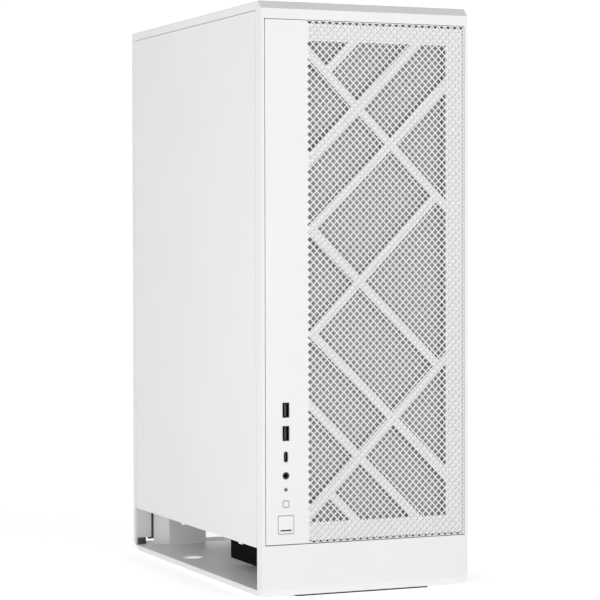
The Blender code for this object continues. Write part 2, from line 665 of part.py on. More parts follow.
def motherboard():
    board = block("motherboard", (BOARD_X, BOARD_X + BOARD_THICK), MAIN_Y, MAIN_Z, CIRCUIT, 2.0, "X")
    holes = bmesh.new()
    for y in (104.0, 214.0, 324.0):
        for z in (172.0, 317.0, 462.0):
            add_prism(holes, circle((y, z), 2.0, 8), "X", BOARD_X - 2, BOARD_X + 4)
    cut(board, holes)
    face = BOARD_X - GAP
    block("cpu_socket", (face - 7.0, face), around(CPU_Y, 48.0), around(CPU_Z, 52.0), STEEL, 3.0, "X")
    for i, y in enumerate((160.0, 178.0)):
        module = block(f"memory_module_{i + 1}", (face - 40.0, face), around(y, 6.6),
                       around(CPU_Z, 133.0), DARK_PLASTIC)
        notch = bmesh.new()
        for z in (CPU_Z - 44.0, CPU_Z, CPU_Z + 44.0):
            add_box(notch, (face - 41.0, face - 36.0), around(y, 9.0), around(z, 22.0))
        cut(module, notch)
    z = SLOT_TOP - CARD_SLOTS[0] * SLOT_PITCH
    strip = block("card_slot", (face - 11.0, face), (208.0, 298.0), around(z, 7.4), DARK_PLASTIC)
    groove = bmesh.new()
    add_box(groove, (face - 12.0, face - 3.0), (210.0, 296.0), around(z, 2.4))
    cut(strip, groove)


PORTS = [(155.0, 444.0, 28.0, 22.0), (152.0, 418.0, 20.0, 16.0), (155.0, 394.0, 15.0, 13.5),
         (155.0, 374.0, 15.0, 13.5), (155.0, 352.0, 16.5, 13.5), (157.0, 330.0, 28.0, 14.0)]


def rear_io():
    back = REAR_Y - GAP
    ports = block("rear_port_block", (139.5, BOARD_X - GAP), (304.0, back), (313.0, 460.0), STEEL)
    wells = bmesh.new()
    for x, z, wide, high in PORTS:
        add_box(wells, around(x, wide), (back - 9.0, back + 2), around(z, high))
    cut(ports, wells)
    shield = block("rear_port_shield", (IO_X[0] + GAP, IO_X[1] - GAP), (REAR_Y + 0.1, REAR_Y + 1.1),
                   (IO_Z[0] + GAP, IO_Z[1] - GAP), STEEL, 1.5, "Y")
    holes = bmesh.new()
    for x, z, wide, high in PORTS:
        add_box(holes, around(x, wide + 0.6), (REAR_Y - 2, REAR_Y + 4), around(z, high + 0.6))
    cut(shield, holes)
    y = (REAR_Y + 0.1, REAR_Y + 1.1)
    low = SLOT_TOP - (SLOT_COUNT - 0.5) * SLOT_PITCH
    covers = block("slot_covers", (SLOT_X[0] + GAP, SLOT_X[1] - GAP), y,
                   (low + GAP, SLOT_TOP + SLOT_PITCH / 2 - GAP), WHITE)
    gaps = bmesh.new()
    comb = (SLOT_X[0] + 8.0, SLOT_X[1] + 5.0)
    for slot in (3, 4, 5):
        add_box(gaps, comb, (y[0] - 2, y[1] + 2), around(SLOT_TOP - (slot + 0.5) * SLOT_PITCH, 1.8))
    card = [SLOT_TOP - (CARD_SLOTS[-1] + 0.5) * SLOT_PITCH - 0.9,
            SLOT_TOP - (CARD_SLOTS[0] - 0.5) * SLOT_PITCH + 0.9]
    add_box(gaps, comb, (y[0] - 2, y[1] + 2), card)
    for slot in (0, 3, 4, 5, 6):
        z = SLOT_TOP - slot * SLOT_PITCH
        for dz in (-4.0, 4.0):
            add_box(gaps, (SLOT_X[0] + 20.0, SLOT_X[1] - 14.0), (y[0] - 2, y[1] + 2), around(z + dz, 3.6))
    cut(covers, gaps)


def cooler():
    """Tower cooler: finned block on a core and foot, with a fan on its front."""
    face = BOARD_X - GAP - 7.0 - GAP
    y, z = around(CPU_Y, 50.0), around(CPU_Z, 118.0)
    low_x, high_x, pitch, thick = 32.0, 144.0, 8.0, 1.6
    core = (CPU_Y - 7.0, CPU_Y + 7.0)
    near, far = [], []
    x = low_x
    while x + thick <= high_x:
        near += [(x, y[0]), (x + thick, y[0]), (x + thick, core[0]), (x + pitch, core[0])]
        far += [(x, y[1]), (x + thick, y[1]), (x + thick, core[1]), (x + pitch, core[1])]
        x += pitch
    outline = near[:-1] + list(reversed(far[:-1]))
    bm = bmesh.new()
    add_prism(bm, outline, "Z", *z)
    stack = make("cooler_heatsink", bm, ALUMINIUM)
    foot = bmesh.new()
    add_box(foot, (x - pitch, face - 6.0), core, around(CPU_Z, 40.0))
    join(stack, foot)
    base = bmesh.new()
    add_box(base, (face - 8.0, face), around(CPU_Y, 38.0), around(CPU_Z, 42.0))
    join(stack, base)
    fan("cooler_fan", (88.0, y[0] - FAN_THICK / 2 - 0.5, CPU_Z), 120.0, (HALF_PI, 0, 0), BLACK,
        GREY_PLASTIC)


def graphics_card():
    z = SLOT_TOP - CARD_SLOTS[0] * SLOT_PITCH
    x, y = (54.0, 163.0), (96.0, 334.0)
    board = block("graphics_board", x, y, around(z, 1.6), CIRCUIT)
    edge = bmesh.new()
    add_box(edge, (x[1] - 1.0, BOARD_X - 5.0), (212.0, 294.0), around(z, 1.6))
    join(board, edge)
    top = z - 0.8 - GAP
    sink_z = (top - 15.0, top)
    fins = block("graphics_heatsink", (x[0] + 4, x[1] - 6), (y[0] + 6, y[1] - 10), sink_z, ALUMINIUM)
    gaps = bmesh.new()
    for i in range(12):
        add_box(gaps, (x[0] - 1, x[1] + 1), around(y[0] + 24.0 + i * 16.4, 9.0),
                (sink_z[0] - 1, sink_z[1] - 3.0))
    cut(fins, gaps)
    skirt = (sink_z[0] - GAP - 18.5, sink_z[0] - GAP)
    shroud = block("graphics_shroud", x, (y[0], y[1] - 2), skirt, DARK_PLASTIC, 6.0)
    middle_x = (x[0] + x[1]) / 2
    centres = [(middle_x, y[0] + 62.0), (middle_x, y[1] - 64.0)]
    openings, seats, bores = bmesh.new(), bmesh.new(), bmesh.new()
    for cx, cy in centres:
        add_prism(openings, circle((cx, cy), 49.0, 28), "Z", skirt[0] - 2, skirt[1] + 2)
        outline = [(a + cx, b + cy) for a, b in star(14.0, 50.5, 5.0, 3, 6)]
        add_prism(seats, outline, "Z", skirt[1] - 2.5, skirt[1])
        add_prism(bores, circle((cx, cy), SHAFT_HOLE, 12), "Z", skirt[1] - 4, skirt[1] + 2)
    cut(shroud, openings)
    join(shroud, seats)
    cut(shroud, bores)
    for name, (cx, cy) in zip(("graphics_rotor_front", "graphics_rotor_rear"), centres):
        rotor(name, (cx, cy, skirt[1] - 10.0), (math.pi, 0, 0), 47.0, 14.0, -6.8, 7.6, GREY_PLASTIC,
              7, 2.4)
    slot_z = (SLOT_TOP - (CARD_SLOTS[-1] + 0.5) * SLOT_PITCH + GAP,
              SLOT_TOP - (CARD_SLOTS[0] - 0.5) * SLOT_PITCH - GAP)
    bracket = block("graphics_bracket", (SLOT_X[0] + 8.4, SLOT_X[1] - GAP), (REAR_Y + 0.1, REAR_Y + 1.1),
                    slot_z, STEEL)
    port_z = (z - 15.0, z - 3.0)
    body = bmesh.new()
    add_box(body, (84.0, 160.0), (334.6, REAR_Y + 0.5), port_z)
    join(bracket, body)
    wells = bmesh.new()
    for i in range(4):
        add_box(wells, (87.0 + i * 18.4, 102.0 + i * 18.4), (335.8, REAR_Y + 4), (z - 12.0, z - 6.5))
    for i in range(9):
        add_box(wells, (84.0 + i * 9.0, 89.0 + i * 9.0), (REAR_Y - 3, REAR_Y + 4), (z - 27.0, z - 18.5))
    cut(bracket, wells)


def power_supply():
    case = block("psu_case", PSU_X, PSU_Y, PSU_Z, DARK_PLASTIC, 1.5, "Y")
    room = bmesh.new()
    add_box(room, *[(low + PSU_WALL, high - PSU_WALL) for low, high in (PSU_X, PSU_Y, PSU_Z)])
    cut(case, room)
    centre = ((PSU_X[0] + PSU_X[1]) / 2, PSU_Y[0] + 66.0)
    holes = bmesh.new()
    add_prism(holes, circle(centre, 58.0, 32), "Z", PSU_Z[0] - 2, PSU_Z[0] + 5)
    span = (PSU_Y[1] - 4, PSU_Y[1] + 3)
    for x, wide in ((INLET_X, 27.4), (SWITCH_X, 13.4)):
        add_box(holes, around(x, wide), span, around(INLET_Z, 20.0))
    for row in range(7):
        add_box(holes, (100.0, 166.0), span, around(62.0 + row * 9.0, 5.0))
    for column in range(5):
        add_box(holes, around(52.0 + column * 24.0, 18.0), (PSU_Y[0] - 3, PSU_Y[0] + 4), (96.0, 106.0))
    cut(case, holes)
    seat = bmesh.new()
    add_prism(seat, [(a + centre[0], b + centre[1]) for a, b in star(17.0, 59.0, 5.0)], "Z",
              PSU_Z[0], PSU_Z[0] + 2.4)
    join(case, seat)
    bore = bmesh.new()
    add_prism(bore, circle(centre, SHAFT_HOLE, 12), "Z", PSU_Z[0] - 1, PSU_Z[0] + 4)
    cut(case, bore)
    rotor("psu_rotor", (centre[0], centre[1], PSU_Z[0] + 12.0), (0, 0, 0), 55.0, 17.0, -8.6, 8.0,
          GREY_PLASTIC, 7, 2.6)
    inlet_and_switch()


def inlet_and_switch():
    face = PSU_Y[1] + 0.6
    inlet = block("mains_inlet", around(INLET_X, 26.8), (face - 20.0, face), around(INLET_Z, 19.4),
                  BLACK, 1.0, "Y")
    well = bmesh.new()
    x, z = around(INLET_X, 24.0), around(INLET_Z, 16.4)
    outline = [(x[0], z[0]), (x[1], z[0]), (x[1], z[1] - 4.0), (x[1] - 4.0, z[1]), (x[0] + 4.0, z[1]),
               (x[0], z[1] - 4.0)]
    add_prism(well, outline, "Y", face - 16.0, face + 2)
    cut(inlet, well)
    pins = bmesh.new()
    for dx, dz in ((-7.0, -1.5), (0.0, 2.5), (7.0, -1.5)):
        add_box(pins, around(INLET_X + dx, 2.0), (face - 17.0, face - 3.0), around(INLET_Z + dz, 4.0))
    join(inlet, pins)
    housing = block("switch_housing", around(SWITCH_X, 12.8), (face - 12.0, face),
                    around(INLET_Z, 19.4), BLACK, 1.0, "Y")
    well = bmesh.new()
    add_box(well, around(SWITCH_X, 10.2), (face - 10.5, face + 2), around(INLET_Z, 16.4))
    cut(housing, well)
    pivot = (SWITCH_X, face - 3.6, INLET_Z)
    bores = bmesh.new()
    add_prism(bores, circle((pivot[1], pivot[2]), 1.0, 12), "X", SWITCH_X - 8, SWITCH_X + 8)
    cut(housing, bores)
    bm = bmesh.new()
    rocker_outline = [(-2.4, -7.3), (2.2, -7.3), (3.0, 0.0), (2.2, 7.3), (-2.4, 7.3)]
    add_prism(bm, rocker_outline, "X", -4.8, 4.8)
    rocker = make("switch_rocker", bm, DARK_PLASTIC, pivot, (math.radians(7), 0, 0), local=True)
    pins = bmesh.new()
    add_prism(pins, circle((0, 0), 0.9, 12), "X", -6.2, 6.2)
    join(rocker, pins, local=True)


def main():
    for obj in list(bpy.data.objects):
        bpy.data.objects.remove(obj, do_unlink=True)
    outer_shell()
    base_pieces()
    chassis_floor()
    rear_panel()
    side_panel("side_panel_left", False)
    side_panel("side_panel_right", True)
    top_panel()
    front_panel()
    lattice()
    filter_pieces()
    front_controls()
    front_bracket()
    tray()
    motherboard()
    rear_io()
    cooler()
    graphics_card()
    power_supply()
    for name, z in zip(("lower", "middle", "upper"), FRONT_FAN_Z):
        fan(f"front_fan_{name}", (FRONT_FAN_X, BRACKET_Y + SHEET + GAP + FAN_THICK / 2, z), 140.0,
            (HALF_PI, 0, 0), BLACK, GREY_PLASTIC)
    fan("base_fan", (*BASE_FAN, BASE_FAN_TOP - FAN_THICK / 2), 140.0, (math.pi, 0, 0), BLACK,
        BLACK)
    fan("rear_fan", (REAR_FAN[0], REAR_Y - GAP - FAN_THICK / 2, REAR_FAN[1]), 120.0,
        (HALF_PI, 0, 0), BLACK, GREY_PLASTIC)


main()
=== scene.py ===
"""Looks of the desktop computer tower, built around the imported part.

Places and sizes on the tower are millimetres from its front left bottom corner: x to the
right, y to the rear, z up. at() turns them into the part's frame. The camera, the stage and
the lights are in metres.
"""

import math

import bmesh
import bpy
from mathutils import Matrix, Vector


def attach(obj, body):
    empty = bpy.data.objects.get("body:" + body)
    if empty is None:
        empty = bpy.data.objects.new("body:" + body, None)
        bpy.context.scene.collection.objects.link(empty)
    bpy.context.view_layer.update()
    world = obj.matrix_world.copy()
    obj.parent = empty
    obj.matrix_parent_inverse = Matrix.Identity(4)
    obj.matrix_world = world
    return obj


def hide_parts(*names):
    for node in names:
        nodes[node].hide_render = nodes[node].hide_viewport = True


MM = 0.001
WIDTH, DEPTH = 202.0, 348.0

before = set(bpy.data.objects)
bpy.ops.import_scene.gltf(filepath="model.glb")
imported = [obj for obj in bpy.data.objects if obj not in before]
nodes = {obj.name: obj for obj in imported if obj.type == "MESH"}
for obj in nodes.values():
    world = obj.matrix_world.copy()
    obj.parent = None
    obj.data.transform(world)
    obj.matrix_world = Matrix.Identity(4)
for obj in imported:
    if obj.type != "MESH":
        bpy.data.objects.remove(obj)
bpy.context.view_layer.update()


def at(x, y, z):
    return Vector(((x - WIDTH / 2) * MM, (y - DEPTH / 2) * MM, z * MM))


# ---------------------------------------------------------------- camera

CAMERA_AT = (-0.8365, -1.9837, 0.3139)
YAW, PITCH, ROLL = 23.10, -1.50, -0.117
LENS = 134.5


def add_camera():
    data = bpy.data.cameras.new("photo_camera")
    data.lens, data.sensor_width, data.sensor_fit = LENS, 36.0, "HORIZONTAL"
    data.clip_end = 100.0
    camera = bpy.data.objects.new("photo_camera", data)
    yaw, pitch = math.radians(YAW), math.radians(PITCH)
    forward = Vector((math.sin(yaw) * math.cos(pitch), math.cos(yaw) * math.cos(pitch),
                      math.sin(pitch)))
    right = Vector((math.cos(yaw), -math.sin(yaw), 0.0))
    up = right.cross(forward)
    turn = Matrix((right, up, -forward)).transposed()
    roll = Matrix.Rotation(math.radians(-ROLL), 3, forward)
    camera.matrix_world = Matrix.Translation(CAMERA_AT) @ (roll @ turn).to_4x4()
    bpy.context.scene.collection.objects.link(camera)
    bpy.context.scene.camera = camera


# ---------------------------------------------------------------- materials

class Graph:
    """A small helper that writes a Principled material's nodes."""

    def __init__(self, name):
        self.material = bpy.data.materials.new(name)
        self.material.use_nodes = True
        self.tree = self.material.node_tree
        self.shader = self.tree.nodes["Principled BSDF"]
        self.coords = self.tree.nodes.new("ShaderNodeTexCoord").outputs["Object"]

    def set(self, **values):
        for key, value in values.items():
            self.shader.inputs[key.replace("_", " ").title().replace("Ior", "IOR")
                               ].default_value = value
        return self

    def link(self, source, target):
        self.tree.links.new(source, target)

    def noise(self, scale, detail=3.0, rough=0.55, stretch=(1, 1, 1)):
        mapping = self.tree.nodes.new("ShaderNodeMapping")
        mapping.inputs["Scale"].default_value = stretch
        self.link(self.coords, mapping.inputs["Vector"])
        node = self.tree.nodes.new("ShaderNodeTexNoise")
        node.inputs["Scale"].default_value = scale
        node.inputs["Detail"].default_value = detail
        node.inputs["Roughness"].default_value = rough
        self.link(mapping.outputs["Vector"], node.inputs["Vector"])
        return node.outputs["Fac"]

    def ramp(self, source, stops):
        node = self.tree.nodes.new("ShaderNodeValToRGB")
        ramp = node.color_ramp
        while len(ramp.elements) < len(stops):
            ramp.elements.new(0.5)
        for element, (place, colour) in zip(ramp.elements, stops):
            element.position = place
            element.color = (*colour, 1.0)
        self.link(source, node.inputs["Fac"])
        return node.outputs["Color"]

    def colour(self, source):
        self.link(source, self.shader.inputs["Base Color"])
        return self

    def rough(self, source, low, high):
        node = self.tree.nodes.new("ShaderNodeMapRange")
        node.inputs["To Min"].default_value = low
        node.inputs["To Max"].default_value = high
        self.link(source, node.inputs["Value"])
        self.link(node.outputs["Result"], self.shader.inputs["Roughness"])
        return self

    def bump(self, source, strength, distance):
        node = self.tree.nodes.new("ShaderNodeBump")
        node.inputs["Strength"].default_value = strength
        node.inputs["Distance"].default_value = distance
        self.link(source, node.inputs["Height"])
        self.link(node.outputs["Normal"], self.shader.inputs["Normal"])
        return self


def tint(colour, factor):
    """The colour made lighter or darker."""
    return tuple(min(1.0, c * factor) for c in colour)


def painted(name, colour, spread=0.012, rough=(0.38, 0.5)):
    """Powder-coated sheet: a fine orange-peel skin and a slow, faint drift of tone."""
    g = Graph(name)
    drift = g.noise(9.0, 3.0, 0.5)
    g.colour(g.ramp(drift, [(0.3, tint(colour, 1 - spread)), (0.7, tint(colour, 1 + spread))]))
    g.rough(g.noise(60.0, 4.0, 0.6), *rough)
    g.bump(g.noise(900.0, 2.0, 0.5), 0.08, 0.0002)
    g.set(specular_ior_level=0.45)
    return g.material


def moulded(name, colour, rough=(0.42, 0.58), grain=0.12, gloss=0.5):
    """Moulded plastic with a fine spark-eroded grain."""
    g = Graph(name)
    g.colour(g.ramp(g.noise(35.0), [(0.3, tint(colour, 0.94)), (0.7, tint(colour, 1.06))]))
    g.rough(g.noise(140.0), *rough)
    g.bump(g.noise(2200.0, 3.0, 0.6), grain, 0.0001)
    g.set(specular_ior_level=gloss)
    return g.material


def metal(name, colour, rough=(0.28, 0.42)):
    """Rolled or brushed metal, with its grain across Z."""
    g = Graph(name)
    grain = g.noise(60.0, 5.0, 0.65, stretch=(1, 1, 40))
    g.colour(g.ramp(grain, [(0.25, tint(colour, 0.9)), (0.75, tint(colour, 1.06))]))
    g.rough(grain, *rough)
    g.bump(grain, 0.05, 0.0001)
    g.set(metallic=1.0)
    return g.material


def rubber(name, colour):
    """Dull rubber with a coarse skin."""
    g = Graph(name)
    g.colour(g.ramp(g.noise(80.0), [(0.3, tint(colour, 0.8)), (0.7, tint(colour, 1.25))]))
    g.rough(g.noise(200.0), 0.7, 0.9)
    g.bump(g.noise(1500.0), 0.2, 0.0002)
    return g.material


def board(name, colour, trace):
    """Circuit board: patches of solder resist with fine tracks between them."""
    g = Graph(name)
    brick = g.tree.nodes.new("ShaderNodeTexBrick")
    brick.inputs["Scale"].default_value = 90.0
    brick.inputs["Mortar Size"].default_value = 0.012
    brick.inputs["Color1"].default_value = (*colour, 1)
    brick.inputs["Color2"].default_value = (*tint(colour, 1.35), 1)
    brick.inputs["Mortar"].default_value = (*trace, 1)
    turn = g.tree.nodes.new("ShaderNodeMapping")
    turn.inputs["Rotation"].default_value = (0.0, math.pi / 2, 0.0)
    g.link(g.coords, turn.inputs["Vector"])
    g.link(turn.outputs["Vector"], brick.inputs["Vector"])
    g.link(brick.outputs["Color"], g.shader.inputs["Base Color"])
    g.rough(g.noise(120.0), 0.35, 0.5)
    g.bump(g.noise(700.0), 0.1, 0.0001)
    return g.material


def woven(name, dark, light, scale):
    """Dust cloth: a plain weave, finer with a larger scale."""
    g = Graph(name)
    waves = []
    for axis in ("X", "Z"):
        wave = g.tree.nodes.new("ShaderNodeTexWave")
        wave.bands_direction = axis
        wave.inputs["Scale"].default_value = scale
        g.link(g.coords, wave.inputs["Vector"])
        waves.append(wave.outputs["Fac"])
    both = g.tree.nodes.new("ShaderNodeMath")
    both.operation = "MAXIMUM"
    g.link(waves[0], both.inputs[0])
    g.link(waves[1], both.inputs[1])
    g.colour(g.ramp(both.outputs["Value"], [(0.35, dark), (0.9, light)]))
    g.bump(both.outputs["Value"], 0.4, 0.0003)
    g.set(roughness=0.9)
    return g.material


WHITE = (0.745, 0.743, 0.738)
MATERIALS = {
    "white": painted("white_paint", WHITE),
    "white_plastic": moulded("white_plastic", (0.735, 0.734, 0.73), (0.35, 0.5), 0.05),
    # Grey for the lines round the front controls: painted shade for the gaps round them.
    "shade": painted("painted_gap_shade", (0.56, 0.56, 0.56)),
    "black": moulded("black_plastic", (0.012, 0.012, 0.013)),
    "deep_black": moulded("deep_black_plastic", (0.002, 0.002, 0.002), (0.7, 0.85), gloss=0.04),
    # The lattice wears the shell's white paint made lighter: painted light that makes up for the
    # shade the mesh sheet in front casts on it.
    "lattice": painted("lattice_white_painted_lighter", (0.81, 0.808, 0.802)),
    # Dark grey drawn with the rubber shader: painted shade for the gaps behind the rear legs.
    "gap_shade": rubber("painted_shade_grey", (0.07, 0.07, 0.07)),
    "dark": moulded("dark_plastic", (0.035, 0.035, 0.038)),
    "dark_paint": painted("dark_paint", (0.03, 0.03, 0.032), 0.1, (0.45, 0.6)),
    "grey": moulded("grey_plastic", (0.30, 0.31, 0.32)),
    "rubber": rubber("black_rubber", (0.02, 0.02, 0.02)),
    "steel": metal("plain_steel", (0.55, 0.56, 0.57)),
    "dark_steel": metal("dark_steel", (0.06, 0.06, 0.065), (0.4, 0.55)),
    "aluminium": metal("plain_aluminium", (0.74, 0.75, 0.76), (0.25, 0.4)),
    "circuit": board("circuit_board", (0.012, 0.02, 0.016), (0.03, 0.05, 0.04)),
    "cloth": woven("dust_cloth", (0.38, 0.38, 0.38), (0.50, 0.50, 0.50), 908.6300),
    "dark_cloth": woven("dark_cloth", (0.05, 0.05, 0.05), (0.12, 0.12, 0.12), 713.9236),
    "lamp": moulded("light_pipe", (0.08, 0.085, 0.09), (0.1, 0.2), 0.02),
    "copper": metal("copper", (0.78, 0.42, 0.28), (0.2, 0.35)),
    "gold": metal("gold_contacts", (0.85, 0.62, 0.28), (0.2, 0.35)),
}


def material_key(node):
    """Which material a CAD node wears."""
    starts = {
        "usb": "dark_steel", "audio": "black", "mains": "black", "switch_housing": "black",
        "switch_rocker": "dark", "memory": "dark", "card_slot": "dark", "solid": "dark_paint",
        "foot": "rubber", "front_lattice": "lattice", "filter_cloth": "cloth",
        "filter_frame": "white_plastic", "power_button": "white_plastic",
        "reset": "white_plastic", "power_indicator": "dark", "activity": "lamp",
        "motherboard_tray": "white", "motherboard": "circuit", "port_board": "circuit",
        "graphics_board": "circuit", "graphics_shroud": "dark",
        "graphics_heatsink": "aluminium", "cooler_heatsink": "aluminium",
        "graphics_bracket": "steel", "graphics_rotor": "grey", "rear_port": "steel",
        "cpu": "steel", "psu_case": "dark_paint", "base_fan": "deep_black",
    }
    for start, key in starts.items():
        if node.startswith(start):
            return key
    if node.endswith("_rotor"):
        return "grey"
    if node.endswith("fan_frame") or node.startswith("front_fan"):
        return "black"
    return "white"


def dress_frame():
    for name, obj in nodes.items():
        obj.data.materials.clear()
        obj.data.materials.append(MATERIALS[material_key(name)])


# ---------------------------------------------------------------- mesh helpers

def finish_piece(name, bm, key, body, bevel=0.0):
    """Turns bm into an object in one of the materials and lets it ride on a body."""
    bmesh.ops.recalc_face_normals(bm, faces=bm.faces)
    mesh = bpy.data.meshes.new(name)
    bm.to_mesh(mesh)
    bm.free()
    obj = bpy.data.objects.new(name, mesh)
    bpy.context.scene.collection.objects.link(obj)
    mesh.materials.append(MATERIALS[key])
    if bevel:
        step = obj.modifiers.new("edges", "BEVEL")
        step.width, step.segments, step.limit_method = bevel * MM, 2, "ANGLE"
    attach(obj, body)
    return obj


def add_prism(bm, outline, axis, low, high):
    """Stretches a flat outline along one axis, from low to high."""
    def corner(a, b, t):
        return at(*{"X": (t, a, b), "Y": (a, t, b), "Z": (a, b, t)}[axis])
    near = [bm.verts.new(corner(a, b, low)) for a, b in outline]
    far = [bm.verts.new(corner(a, b, high)) for a, b in outline]
    bm.faces.new(near)
    bm.faces.new(list(reversed(far)))
    for i in range(len(outline)):
        j = (i + 1) % len(outline)
        bm.faces.new((near[i], far[i], far[j], near[j]))


def rectangle(a, b):
    """The outline of a rectangle between two spans."""
    return [(a[0], b[0]), (a[1], b[0]), (a[1], b[1]), (a[0], b[1])]


def around(centre, size):
    """The span of a given size about its middle."""
    return (centre - size / 2, centre + size / 2)


def add_box(bm, x, y, z):
    add_prism(bm, rectangle(x, y), "Z", z[0], z[1])


def circle(centre, radius, steps):
    return [(centre[0] + radius * math.cos(math.tau * i / steps),
             centre[1] + radius * math.sin(math.tau * i / steps)) for i in range(steps)]


def rounded(a, b, radius, steps=4):
    """The outline of a rectangle with rounded corners."""
    points = []
    corners = [(a[1] - radius, b[1] - radius), (a[0] + radius, b[1] - radius),
               (a[0] + radius, b[0] + radius), (a[1] - radius, b[0] + radius)]
    for turn, (ca, cb) in enumerate(corners):
        for i in range(steps + 1):
            angle = math.pi / 2 * (turn + i / steps)
            points.append((ca + radius * math.cos(angle), cb + radius * math.sin(angle)))
    return points


def clip(outline, low, high):
    """The part of a convex outline inside a rectangle."""
    for axis in (0, 1):
        for bound, sign in ((low[axis], 1), (high[axis], -1)):
            kept = []
            for i, p in enumerate(outline):
                q = outline[(i + 1) % len(outline)]
                inside_p = sign * (p[axis] - bound) >= 0
                inside_q = sign * (q[axis] - bound) >= 0
                if inside_p:
                    kept.append(p)
                if inside_p != inside_q:
                    t = (bound - p[axis]) / (q[axis] - p[axis])
                    kept.append(tuple(p[k] + (q[k] - p[k]) * t for k in (0, 1)))
            outline = kept
            if len(outline) < 3:
                return []
    return outline


def area(outline):
    return abs(sum(a[0] * b[1] - b[0] * a[1] for a, b in
                   zip(outline, outline[1:] + outline[:1]))) / 2


def apply_cut(obj, bm):
    """Cuts bm's solids out of a piece for good."""
    bmesh.ops.recalc_face_normals(bm, faces=bm.faces)
    mesh = bpy.data.meshes.new("tool")
    bm.to_mesh(mesh)
    bm.free()
    tool = bpy.data.objects.new("tool", mesh)
    bpy.context.scene.collection.objects.link(tool)
    step = obj.modifiers.new("cut", "BOOLEAN")
    step.operation, step.solver, step.object = "DIFFERENCE", "EXACT", tool
    bpy.context.view_layer.update()
    result = bpy.data.meshes.new_from_object(
        obj.evaluated_get(bpy.context.evaluated_depsgraph_get()))
    obj.modifiers.clear()
    obj.data = result
    bpy.data.objects.remove(tool)


# ---------------------------------------------------------------- the perforated front

CONTROL_X = 22.8
FACE_X, FACE_Z = (3.8, 198.0), (47.8, 507.5)
SHEET_FRONT, SHEET_BACK = 0.3, 1.15
MESH_LOW, MESH_HIGH = (43.6, 48.3), (197.2, 506.8)
GRID_START = (43.07, 48.0)
PITCH_X, PITCH_Z, HOLE = 6.47, 6.60, 0.785
USB_A_Z = (165.9, 145.4)
USB_C_Z, AUDIO_Z, LAMP_Z, RESET_Z, POWER_Z = 124.7, 108.2, 95.9, 83.3, 65.0
RESET_WIDE, RESET_HIGH, POWER_WIDE, POWER_HIGH = 5.8, 5.8, 15.0, 16.2
SMALLEST_HOLE = 0.6


def control(wide, high, middle, radius, steps=4):
    """The rounded outline of a control, on the column that they all share."""
    return rounded(around(CONTROL_X, wide), around(middle, high), radius, steps)


def front_mesh():
    """The front sheet with its fine diamond perforation and the cut-outs for the controls."""
    front, back = SHEET_FRONT, SHEET_BACK
    bm = bmesh.new()
    add_prism(bm, rounded(FACE_X, FACE_Z, 1.0), "Y", front, back)
    panel = finish_piece("front_mesh_panel", bm, "white", "front_cover")
    holes = bmesh.new()
    through = (front - 3, back + 3)
    for middle in USB_A_Z:
        add_prism(holes, control(6.7, 13.3, middle, 0.5), "Y", *through)
    add_prism(holes, control(3.9, 9.4, USB_C_Z, 1.9, 8), "Y", *through)
    add_prism(holes, circle((CONTROL_X, AUDIO_Z), 3.15, 40), "Y", *through)
    add_prism(holes, circle((CONTROL_X, LAMP_Z), 1.5, 24), "Y", *through)
    add_prism(holes, control(RESET_WIDE, RESET_HIGH, RESET_Z, 0.6), "Y", *through)
    add_prism(holes, control(POWER_WIDE, POWER_HIGH, POWER_Z, 1.2), "Y", *through)
    half_x, half_z = PITCH_X / 2 * HOLE, PITCH_Z / 2 * HOLE
    columns = int((MESH_HIGH[0] - MESH_LOW[0]) / PITCH_X) + 2
    rows = int((MESH_HIGH[1] - MESH_LOW[1]) / PITCH_Z * 2) + 3
    for row in range(rows):
        for column in range(columns):
            x = GRID_START[0] + (column + 0.5 * (row % 2)) * PITCH_X
            z = GRID_START[1] + row * PITCH_Z / 2
            if x < MESH_LOW[0]:
                continue
            outline = clip([(x - half_x, z), (x, z - half_z), (x + half_x, z), (x, z + half_z)],
                           MESH_LOW, MESH_HIGH)
            if outline and area(outline) > SMALLEST_HOLE:
                add_prism(holes, outline, "Y", *through)
    apply_cut(panel, holes)
    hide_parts("front_panel")
    rim_span, line_span = (front - 0.3, front - 0.02), (front - 0.04, front + 0.3)
    for name, middle in zip(("upper", "lower"), USB_A_Z):
        add_ring(f"port_rim_{name}", control(7.9, 14.5, middle, 0.8),
                 control(6.7, 13.3, middle, 0.5), rim_span, "white")
    # The grey rings round the other controls' holes are painted shade for the gaps round them.
    add_ring("edge_usb_c", control(5.0, 10.5, USB_C_Z, 2.4, 8),
             control(3.95, 9.45, USB_C_Z, 1.9, 8), line_span, "shade")
    for name, middle, outer, inner in (("audio", AUDIO_Z, 3.7, 3.17),
                                       ("lamp", LAMP_Z, 2.2, 1.52)):
        add_ring(f"edge_{name}", circle((CONTROL_X, middle), outer, 40),
                 circle((CONTROL_X, middle), inner, 40), line_span, "shade")
    for name, middle, wide, high in (("reset", RESET_Z, RESET_WIDE, RESET_HIGH),
                                     ("power", POWER_Z, POWER_WIDE, POWER_HIGH)):
        add_ring(f"edge_{name}", control(wide + 1.1, high + 1.1, middle, 1.5),
                 control(wide + 0.05, high + 0.05, middle, 1.0), line_span, "shade")


def add_ring(name, outer, inner, span, key, body="front_cover"):
    """A flat ring across Y between two outlines with the same number of corners."""
    bm = bmesh.new()
    rings = [[bm.verts.new(at(x, y, z)) for x, z in line]
             for line, y in ((outer, span[0]), (inner, span[0]), (inner, span[1]),
                             (outer, span[1]))]
    count = len(outer)
    for near, far in zip(rings, rings[1:] + rings[:1]):
        for i in range(count):
            j = (i + 1) % count
            bm.faces.new((near[i], near[j], far[j], far[i]))
    return finish_piece(name, bm, key, body)


# ---------------------------------------------------------------- small fittings

